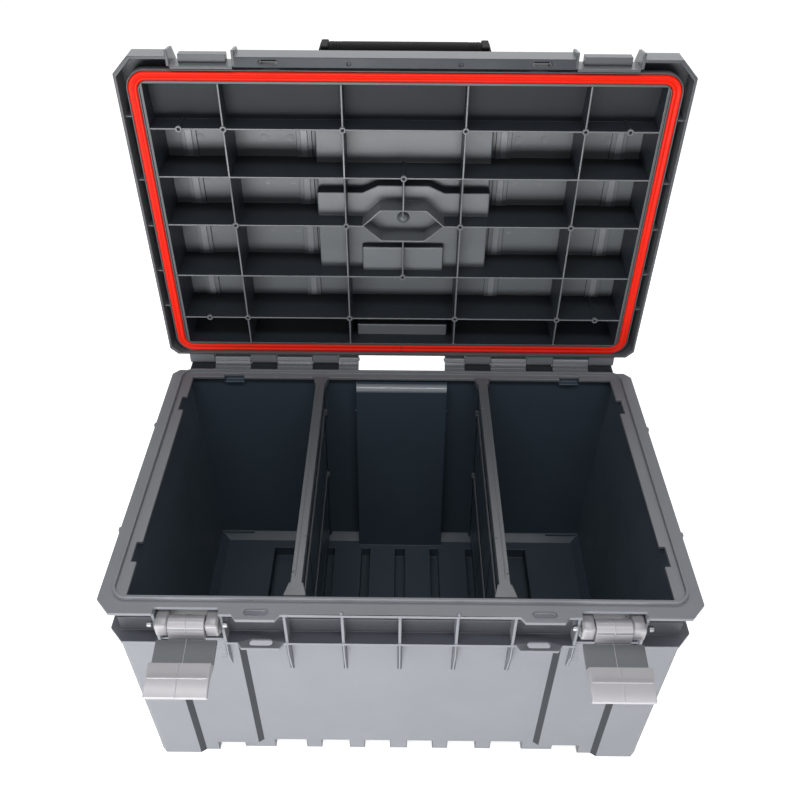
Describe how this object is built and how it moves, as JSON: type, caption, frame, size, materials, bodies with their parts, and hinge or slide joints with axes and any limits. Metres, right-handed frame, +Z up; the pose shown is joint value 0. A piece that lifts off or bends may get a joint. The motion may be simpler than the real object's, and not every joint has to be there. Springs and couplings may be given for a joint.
{
  "type": "tool case",
  "caption": "Deep moulded tool case with an open ribbed lid on a red seal, pinned hinges, over-centre latches, a flip-over carry handle and lift-out dividers.",
  "frame": {"origin": "on the floor under the middle of the rim, on the middle runner", "axes": "+X to the case's right as seen from the front, +Y from the latches to the hinges, +Z up"},
  "size_m": [0.588, 0.5051, 0.6827],
  "materials": {
    "case_plastic": "anthracite moulded polypropylene, fine-eroded grain",
    "latch_plastic": "smooth moulded glass-filled nylon",
    "seal_rubber": "extruded red silicone sponge",
    "pin_steel": "drawn zinc-plated steel",
    "handle_plastic": "black moulded glass-filled nylon",
    "grip_rubber": "black moulded soft grip"
  },
  "bodies": {
    "base": {"base_shell": "case_plastic", "hinge_pin_left": "pin_steel", "hinge_pin_right": "pin_steel", "latch_bracket_left": "latch_plastic", "latch_bracket_right": "latch_plastic", "latch_pin_left": "pin_steel", "latch_pin_right": "pin_steel", "latch_screws_left": "pin_steel", "latch_screws_right": "pin_steel"},
    "lid": {"lid_shell": "case_plastic", "lid_seal": "seal_rubber", "handle_pin_left": "pin_steel", "handle_pin_right": "pin_steel"},
    "handle": {"handle_frame": "handle_plastic", "handle_grip": "grip_rubber"},
    "latch_left": {"latch_lever_left": "latch_plastic"},
    "latch_right": {"latch_lever_right": "latch_plastic"},
    "divider_left": {"divider_panel_left": "case_plastic", "divider_rail_left": "case_plastic"},
    "divider_right": {"divider_panel_right": "case_plastic", "divider_rail_right": "case_plastic"}
  },
  "joints": [
    {"name": "lid_hinge", "type": "hinge", "parent": "base", "child": "lid", "pos_m": [0, 0.1917, 0.291], "axis": [-1, 0, 0], "range_deg": [-90, 0]},
    {"name": "latch_left_swing", "type": "hinge", "parent": "base", "child": "latch_left", "pos_m": [-0.204, -0.1885, 0.266], "axis": [1, 0, 0], "range_deg": [-100, 0]},
    {"name": "latch_right_swing", "type": "hinge", "parent": "base", "child": "latch_right", "pos_m": [0.204, -0.1885, 0.266], "axis": [1, 0, 0], "range_deg": [-100, 0]},
    {"name": "handle_fold", "type": "hinge", "parent": "lid", "child": "handle", "pos_m": [0, 0.2402, 0.5522], "axis": [-1, 0, 0], "range_deg": [0, 187]},
    {"name": "divider_left_lift", "type": "slide", "parent": "base", "child": "divider_left", "axis": [0, 0, 1], "range_m": [0, 0.2]},
    {"name": "divider_right_lift", "type": "slide", "parent": "base", "child": "divider_right", "axis": [0, 0, 1], "range_m": [0, 0.2]}
  ]
}
